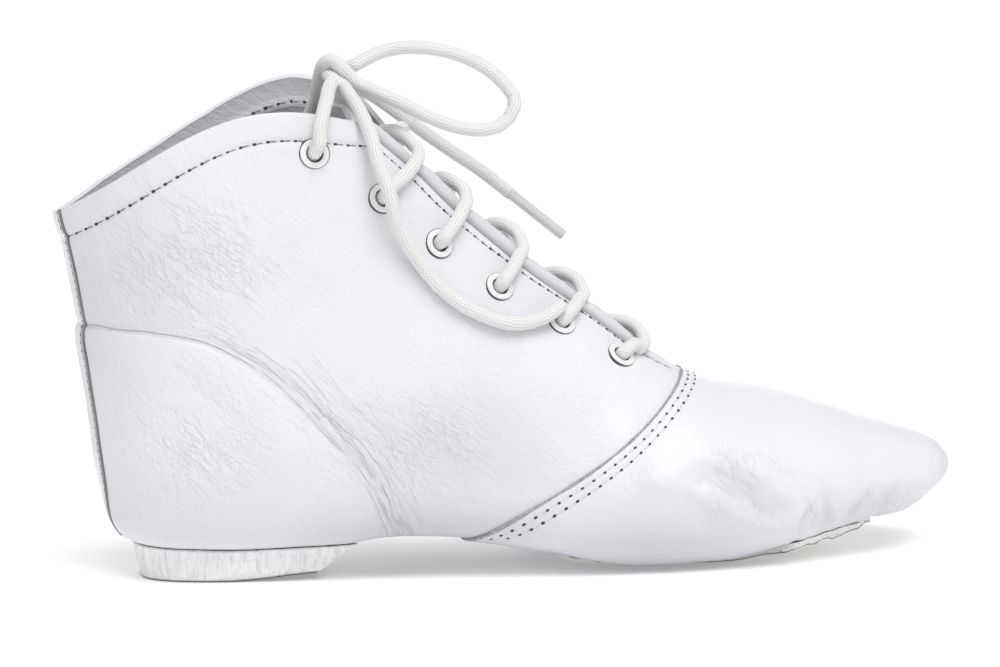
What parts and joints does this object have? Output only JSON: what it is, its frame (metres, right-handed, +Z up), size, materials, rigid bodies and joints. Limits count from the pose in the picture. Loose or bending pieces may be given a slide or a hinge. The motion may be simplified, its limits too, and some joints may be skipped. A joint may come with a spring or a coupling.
{
  "type": "dance boot",
  "caption": "Soft white leather lace-up dance boot: low ankle shaft with a sloping collar, open throat over a tongue, tied lace, split sole with a front patch and a low block heel.",
  "frame": {"origin": "on the floor, at the middle of the heel's flat bottom", "axes": "+X toward the toe, +Y toward the wearer's left (the inner side of this right shoe), +Z up"},
  "size_m": [0.2645, 0.0868, 0.1512],
  "materials": {
    "white_leather": "soft grain with a satin gloss",
    "strip_leather": "soft grain with a satin gloss",
    "tongue_leather": "smooth, pale grey",
    "insole_fabric": "matt woven sock",
    "sole_suede": "rough cream suede",
    "heel_white": "painted white, satin",
    "eyelet_white": "white paint",
    "lace_cotton": "round braid",
    "tip_plastic": "clear cream plastic"
  },
  "bodies": {
    "root": {"back_strip": "strip_leather", "eyelet_inner_1": "eyelet_white", "eyelet_inner_2": "eyelet_white", "eyelet_inner_3": "eyelet_white", "eyelet_inner_4": "eyelet_white", "eyelet_inner_5": "eyelet_white", "eyelet_inner_6": "eyelet_white", "eyelet_outer_1": "eyelet_white", "eyelet_outer_2": "eyelet_white", "eyelet_outer_3": "eyelet_white", "eyelet_outer_4": "eyelet_white", "eyelet_outer_5": "eyelet_white", "eyelet_outer_6": "eyelet_white", "front_sole": "sole_suede", "heel": "heel_white", "insole": "insole_fabric", "lace_crossing_1": "lace_cotton", "lace_crossing_2": "lace_cotton", "lace_crossing_3": "lace_cotton", "lace_crossing_4": "lace_cotton", "lace_crossing_5": "lace_cotton", "lace_end_front": "lace_cotton", "lace_end_side": "lace_cotton", "lace_knot": "lace_cotton", "lace_loop": "lace_cotton", "lace_tip": "tip_plastic", "tongue": "tongue_leather", "upper": "white_leather"}
  },
  "joints": []
}
